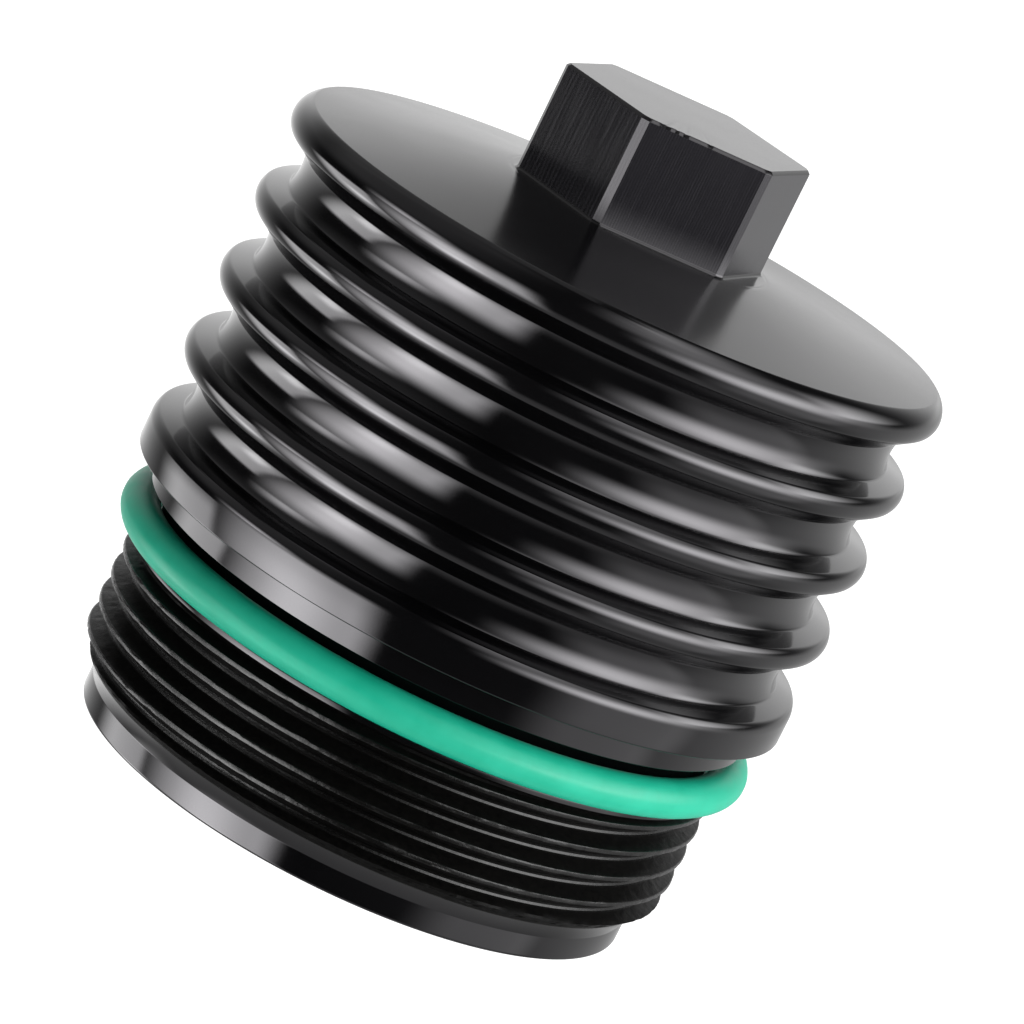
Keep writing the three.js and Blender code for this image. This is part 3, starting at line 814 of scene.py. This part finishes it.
def retainer():
    """Rim and guide hub joined by three spokes."""
    low, high = box_mm("spring_retainer")
    plate_top, rim_inner, rim_outer, guide, hub = 44.4, 10.2, 12.6, 2.7, 4.6
    body = turned("retainer", rounded_ring(rim_inner, rim_outer, low.z, plate_top, 0.3), INNER_COLUMNS)
    tools = [turned("hub", rounded_ring(guide, hub, low.z, high.z, 0.3), 96)]
    start, end, spoke_half, lap = guide + 0.8, rim_outer - 1.0, 1.5, 0.02
    for i in range(3):
        near = (start, -spoke_half, low.z + lap)
        far = (end, spoke_half, plate_top - lap)
        tools.append(block("spoke", near, far, i * math.radians(120)))
    combine(body, tools, "UNION", 28)
    place(body, "core", "valve_brass", BRASS, "spring_retainer")


def spring():
    """Compression spring whose end turns lie closed against their neighbours."""
    low, high = box_mm("bypass_spring")
    wire, radius, end_pitch, turns = 1.4, 8.2, 1.42, 5.0
    start, end = low.z + wire / 2, high.z - wire / 2
    open_pitch = (end - start - 2 * end_pitch) / (turns - 2)
    sections = []
    for turn in np.linspace(0, turns, 241):
        if turn < 1:
            z = start + end_pitch * turn
        elif turn > turns - 1:
            z = end - end_pitch * (turns - turn)
        else:
            z = start + end_pitch + open_pitch * (turn - 1)
        angle = 2 * math.pi * turn
        section = []
        for side in 2 * np.pi * np.arange(14) / 14:
            r = radius + wire / 2 * math.cos(side)
            section.append((r * math.cos(angle), r * math.sin(angle), z + wire / 2 * math.sin(side)))
        sections.append(np.array(section))
    piece = place(swept("valve_spring", sections, 40), "core", "spring_steel", STEEL, "bypass_spring")
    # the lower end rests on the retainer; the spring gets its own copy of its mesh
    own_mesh(piece)


def poppet():
    low, high = box_mm("bypass_poppet")
    stem, disc, back, front = 2.4, 11.0, 55.4, 57.5
    groove_inner, groove_outer, groove_floor = 8.1, 10.5, 56.7
    nose_foot, nose_tip = 7.0, 4.5
    outline = fillet(
        [
            (0, low.z, 0),
            (stem, low.z, 0.6),
            (stem, back, 0.7),
            (disc, back, 0.4),
            (disc, front, 0.3),
            (groove_outer, front, 0.1),
            (groove_outer, groove_floor, 0.1),
            (groove_inner, groove_floor, 0.1),
            (groove_inner, front, 0.1),
            (nose_foot, front, 0.8),
            (nose_tip, high.z, 0.8),
            (0, high.z, 0),
        ],
        4,
    )
    place(turned("poppet", outline, INNER_COLUMNS), "poppet", "core_nylon", CORE_NYLON, "bypass_poppet")
    low, high = box_mm("poppet_seal")
    face_inner, face_outer = 8.4, 10.2
    outline = rounded_ring(face_inner, face_outer, low.z, high.z, 0.3)
    face = turned("poppet_face", outline, INNER_COLUMNS)
    place(face, "poppet", "black_rubber", BLACK_RUBBER, "poppet_seal")


# ------------------------------------------------------------------ filter element

PLEAT_COUNT = 36
PLEAT_OUTER, PLEAT_INNER = 35.9, 20.9
PAPER_THICKNESS, FOLD_ROUND = 0.8, 0.55
ELEMENT_TRAVEL = 75.0


def disc_outline(base, up):
    """Moulded disc with a raised rim and two shallow grooves; up is 1 for the lower, -1 for the upper."""
    inner, outer, rim, plate, height = 20.3, 38.0, 36.7, 2.7, 5.0
    groove_depth, groove_width = 0.5, 1.6
    grooves = []
    for start in (23.4, 33.2):
        end = start + groove_width
        grooves += [(start, base, 0.15), (start + 0.2, base + up * groove_depth, 0.2)]
        grooves += [(end - 0.2, base + up * groove_depth, 0.2), (end, base, 0.15)]
    return ring_outline(
        [
            (inner, base, 0.3),
            *grooves,
            (outer, base, 0.8),
            (outer, base + up * height, 0.4),
            (rim, base + up * height, 0.3),
            (rim, base + up * plate, 0.6),
            (inner, base + up * plate, 0.3),
        ]
    )


def end_discs():
    """The lower disc has six centring lugs with softened edges."""
    low, high = box_mm("lower_end_disc")
    body = turned("lower_disc", disc_outline(low.z, 1), 192)
    start, end, half_width, height, lap = 37, 40.7, 4, 2.4, 0.02
    tools = []
    for i in range(6):
        near = (start, -half_width, low.z + lap)
        far = (end, half_width, low.z + height)
        tools.append(block("lug", near, far, math.radians(60 * i)))
    combine(body, tools, "UNION", 28)
    soften(body, 0.3)
    place(body, "element", "disc_nylon", DISC_NYLON, "lower_end_disc")
    low, high = box_mm("upper_end_disc")
    body = turned("upper_disc", disc_outline(high.z, -1), 192)
    place(body, "element", "disc_nylon", DISC_NYLON, "upper_end_disc")


def soften(piece, width):
    """Rounds the piece's remaining sharp edges."""
    bevel = piece.modifiers.new("soften", "BEVEL")
    bevel.width = width * MM
    bevel.segments = 2
    bevel.limit_method = "ANGLE"
    bevel.angle_limit = math.radians(50)


def pleat_path():
    """Middle line of the folded paper: round folds outside and inside, joined by straight walls."""
    step = math.pi / PLEAT_COUNT
    outer = PLEAT_OUTER - PAPER_THICKNESS / 2 - FOLD_ROUND
    inner = PLEAT_INNER + PAPER_THICKNESS / 2 + FOLD_ROUND
    centres = []
    for i in range(2 * PLEAT_COUNT):
        radius = inner if i % 2 else outer
        centres.append(Vector((radius * math.cos(i * step), radius * math.sin(i * step))))
    path = []
    for i, centre in enumerate(centres):
        side = -1 if i % 2 else 1
        before, after = centres[i - 1], centres[(i + 1) % len(centres)]
        angles = []
        for other, way in ((before, -1), (after, 1)):
            away = other - centre
            lean = math.acos(2 * FOLD_ROUND / away.length)
            angles.append(math.atan2(away.y, away.x) + way * side * lean)
        start, end = angles
        turn = (end - start) % (2 * math.pi)
        if side < 0:
            turn -= 2 * math.pi
        for k in range(9):
            angle = start + turn * k / 8
            path.append(centre + FOLD_ROUND * Vector((math.cos(angle), math.sin(angle))))
    return path


def pleats():
    low, high = box_mm("pleated_media")
    path = np.array([tuple(p) for p in pleat_path()])
    along = np.roll(path, -1, 0) - np.roll(path, 1, 0)
    along /= np.linalg.norm(along, axis=1)[:, None]
    out = np.stack([along[:, 1], -along[:, 0]], axis=-1) * PAPER_THICKNESS / 2
    count = len(path)
    heights = np.linspace(low.z, high.z, 15)
    sway, across, upwards = 0.09, 6, 11
    rows = []
    for sign, levels in ((1, heights), (-1, heights[::-1])):
        for z in levels:
            wander = [sway * noise.noise(Vector((p[0] / across, p[1] / across, z / upwards))) for p in path]
            line = path + sign * out + (out / PAPER_THICKNESS * 2) * np.array(wander)[:, None]
            rows.append(np.column_stack([line, np.full(count, z)]))
    rows.append(rows[0])
    points = np.concatenate(rows)
    piece = object_from("pleats", points, grid_faces(len(rows), count, True), 50)
    place(piece, "element", "filter_paper", PAPER, "pleated_media")


def seam_strip():
    """The folded metal strip stays as modelled, with its edges softened."""
    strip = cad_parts["seam_clip"]
    strip.data.materials.clear()
    strip.data.materials.append(STEEL)
    soften(strip, 0.08)


def lip_seals():
    """Rubber rings in the end discs' bores; each lip leans in to wipe the core."""
    lip, heel, outer = 17.3, 18.3, 20.0
    rings = (("lower_wiper", "lower_lip_seal", 1.5), ("upper_wiper", "upper_lip_seal", 1.9))
    for name, node, lip_height in rings:
        low, high = box_mm(node)
        outline = ring_outline(
            [
                (lip, low.z + lip_height, 0.15),
                (heel, low.z, 0.3),
                (outer, low.z, 0.4),
                (outer, high.z, 0.4),
                (heel, high.z, 0.4),
            ]
        )
        ring = turned(name, outline, INNER_COLUMNS)
        place(ring, "element", "black_rubber", BLACK_RUBBER, node)


def glue_bands():
    """Hot-melt beads round the pleats: flat against the paper, rounded and a little uneven outside."""
    inner, outer, back_round, front_round = 36.2, 37.0, 0.1, 0.55
    unevenness, spacing = 0.12, 5
    for node in ("pleat_band_lower", "pleat_band_middle", "pleat_band_upper"):
        low, high = box_mm(node)
        outline = ring_outline(
            [
                (inner, low.z, back_round),
                (outer, low.z, front_round),
                (outer, high.z, front_round),
                (inner, high.z, back_round),
            ]
        )
        bead = turned(node.replace("pleat_band", "bead"), outline, 256)
        for v in bead.data.vertices:
            v.co.z += unevenness * MM * noise.noise(v.co / MM / spacing)
        place(bead, "element", "band_glue", GLUE, node)


cap_body()
cover_o_ring()
snap_ring()
washer()
head_of_core()
tube_of_core()
outlet_seal()
seat()
retainer()
spring()
poppet()
end_discs()
pleats()
seam_strip()
lip_seals()
glue_bands()


# ------------------------------------------------------------------ stage: floor, studio light, camera

def studio_floor():
    """Plain pale floor, just low enough for the element to be pulled right out of the cap above it."""
    mesh = bpy.data.meshes.new("floor")
    half = 8.0
    level = (box_mm("lower_lip_seal")[0].z - ELEMENT_TRAVEL - 1) * MM
    corners = [(x * half, y * half, level) for x, y in ((-1, -1), (1, -1), (1, 1), (-1, 1))]
    mesh.from_pydata(corners, [], [(0, 1, 2, 3)])
    floor = bpy.data.objects.new("floor", mesh)
    bpy.context.scene.collection.objects.link(floor)
    floor.visible_glossy = False
    m = Nodes("pale_floor", Roughness=0.9)
    grey, glow = 0.3, 0.97
    m.shader.inputs["Base Color"].default_value = (grey, grey, grey, 1)
    m.shader.inputs["Emission Color"].default_value = (1, 1, 1, 1)
    m.shader.inputs["Emission Strength"].default_value = glow
    clear = m.add("ShaderNodeBsdfTransparent")
    below = m.add("ShaderNodeNewGeometry").outputs["Backfacing"]
    mix = m.add("ShaderNodeMixShader")
    m.link(below, mix.inputs[0])
    m.link(m.shader.outputs[0], mix.inputs[1])
    m.link(clear.outputs[0], mix.inputs[2])
    m.link(mix.outputs[0], m.tree.nodes["Material Output"].inputs["Surface"])
    mesh.materials.append(m.material)


class Sky:
    """Light by direction, in degrees: azimuth to the right from the camera's side, and elevation."""

    def __init__(self, base):
        world = bpy.data.worlds.new("studio")
        world.use_nodes = True
        bpy.context.scene.world = world
        self.tree = world.node_tree
        self.background = self.tree.nodes["Background"]
        self.background.inputs["Color"].default_value = (1, 1, 1, 1)
        source = self.tree.nodes.new("ShaderNodeTexCoord").outputs["Generated"]
        right = (math.cos(CAMERA_AZIMUTH), math.sin(CAMERA_AZIMUTH), 0)
        towards = (math.sin(CAMERA_AZIMUTH), -math.cos(CAMERA_AZIMUTH), 0)
        across = self.dot(source, right)
        near = self.dot(source, towards)
        degrees = 180 / math.pi
        self.azimuth = self.math("MULTIPLY", self.math("ARCTAN2", across, near), degrees)
        self.elevation = self.math("MULTIPLY", self.math("ARCSINE", self.dot(source, (0, 0, 1))), degrees)
        self.total = self.math("ADD", base, 0.0)

    def dot(self, vector, constant):
        node = self.tree.nodes.new("ShaderNodeVectorMath")
        node.operation = "DOT_PRODUCT"
        self.tree.links.new(vector, node.inputs[0])
        node.inputs[1].default_value = constant
        return node.outputs["Value"]

    def math(self, operation, a, b=0.0):
        node = self.tree.nodes.new("ShaderNodeMath")
        node.operation = operation
        for socket, value in zip(node.inputs, (a, b)):
            if isinstance(value, (int, float)):
                socket.default_value = value
            else:
                self.tree.links.new(value, socket)
        return node.outputs[0]

    def ramp(self, value, start, end):
        """0 before start and 1 after end, smooth in between."""
        node = self.tree.nodes.new("ShaderNodeMapRange")
        node.interpolation_type = "SMOOTHSTEP"
        self.tree.links.new(value, node.inputs["Value"])
        node.inputs["From Min"].default_value = min(start, end)
        node.inputs["From Max"].default_value = max(start, end)
        node.inputs["To Min"].default_value = 0.0 if start < end else 1.0
        node.inputs["To Max"].default_value = 1.0 if start < end else 0.0
        return node.outputs["Result"]

    def panel(self, level, azimuth, elevation, side_fade, end_fade):
        """A bright field between two azimuths and two elevations, and how far each of its edges fades."""
        field = level
        for value, (low, high), (fade_in, fade_out) in (
            (self.azimuth, azimuth, side_fade),
            (self.elevation, elevation, end_fade),
        ):
            field = self.math("MULTIPLY", field, self.ramp(value, low, low + fade_in))
            field = self.math("MULTIPLY", field, self.ramp(value, high, high - fade_out))
        self.total = self.math("ADD", self.total, field)

    def finish(self, seen):
        """Camera rays see the plain colour given; everything else sees the panels."""
        self.tree.links.new(self.total, self.background.inputs["Strength"])
        plain = self.tree.nodes.new("ShaderNodeBackground")
        plain.inputs["Strength"].default_value = seen
        mix = self.tree.nodes.new("ShaderNodeMixShader")
        camera_ray = self.tree.nodes.new("ShaderNodeLightPath").outputs["Is Camera Ray"]
        self.tree.links.new(camera_ray, mix.inputs[0])
        self.tree.links.new(self.background.outputs[0], mix.inputs[1])
        self.tree.links.new(plain.outputs[0], mix.inputs[2])
        self.tree.links.new(mix.outputs[0], self.tree.nodes["World Output"].inputs["Surface"])


def studio_light():
    """Soft panels to the left and right, a backdrop, a ceiling and a table.

    Most of their edges and fades, and several levels, are the rounded result of a least-squares fit to the
    photo's reflections. The rest were changed, and the third panel was added.
    """
    everywhere = (-190, 190)
    sky = Sky(0.03)
    # left: wide softbox, its hot middle, a second one further round, and a strip above them
    sky.panel(6.2, (-92, -14), (-68, 12), (30, 14), (34, 34))
    sky.panel(3.8, (-71, -30), (-51, 9), (18, 21), (8, 36))
    sky.panel(2.6, (-73, -40), (-52, -28), (12, 14), (8, 12))
    sky.panel(4.0, (-130, -86), (-54, -10), (20, 6), (24, 5))
    sky.panel(3.6, (-113, -93), (-41, -24), (8, 7), (6, 9))
    sky.panel(5.5, (-91, -46), (-2, 15), (24, 26), (4, 11))
    # right: large softbox, a second lamp beside it, and their spill above and below
    sky.panel(8.8, (9, 124), (-12, 42), (52, 61), (28, 30))
    sky.panel(3.3, (85, 133), (7, 52), (15, 34), (6, 22))
    sky.panel(2.0, (-8, 119), (23, 91), (47, 68), (23, 31))
    sky.panel(2.1, (27, 166), (56, 84), (26, 50), (27, 8))
    sky.panel(1.15, (34, 102), (-58, 14), (26, 14), (40, 10))
    # room: backdrop from both sides, ceiling on the left, table below
    sky.panel(1.05, (-190, -114), (-57, 32), (1, 60), (11, 20))
    sky.panel(1.05, (124, 190), (-4, 50), (54, 1), (11, 36))
    sky.panel(0.57, (86, 190), (-60, 9), (14, 1), (50, 13))
    sky.panel(0.27, (-135, -10), (-1, 89), (27, 64), (27, 26))
    sky.panel(0.27, (-190, -109), (17, 91), (1, 21), (23, 1))
    sky.panel(0.47, everywhere, (-95, -35), (1, 1), (1, 25))
    sky.finish(1.0)


def photo_camera():
    """View from the front left, looking 12.9 degrees down, rolled so that the part leans.

    The distance, aim, angles and lens are rounded from a fit to the part's outline in the photo.
    """
    pitch, roll = math.radians(12.92), math.radians(26.2)
    distance, aim_height, aside = 776.7, 53.16, 2.17
    right = Vector((math.cos(CAMERA_AZIMUTH), math.sin(CAMERA_AZIMUTH), 0))
    towards = Vector((math.sin(CAMERA_AZIMUTH), -math.cos(CAMERA_AZIMUTH), 0))
    back = towards * math.cos(pitch) + Vector((0, 0, math.sin(pitch)))
    aim = right * aside + Vector((0, 0, aim_height))
    up = back.cross(right)
    data = bpy.data.cameras.new("camera")
    data.sensor_width = 36.0
    data.lens = 179.2
    data.clip_start, data.clip_end = 0.05, 50
    camera = bpy.data.objects.new("camera", data)
    bpy.context.scene.collection.objects.link(camera)
    tilted_up = up * math.cos(roll) - right * math.sin(roll)
    tilted_right = tilted_up.cross(back)
    turn = Matrix((tilted_right, tilted_up, back)).transposed()
    camera.matrix_world = Matrix.Translation((aim + back * distance) * MM) @ turn.to_4x4()
    bpy.context.scene.camera = camera


studio_floor()
studio_light()
photo_camera()
bpy.context.scene.view_settings.view_transform = "Standard"
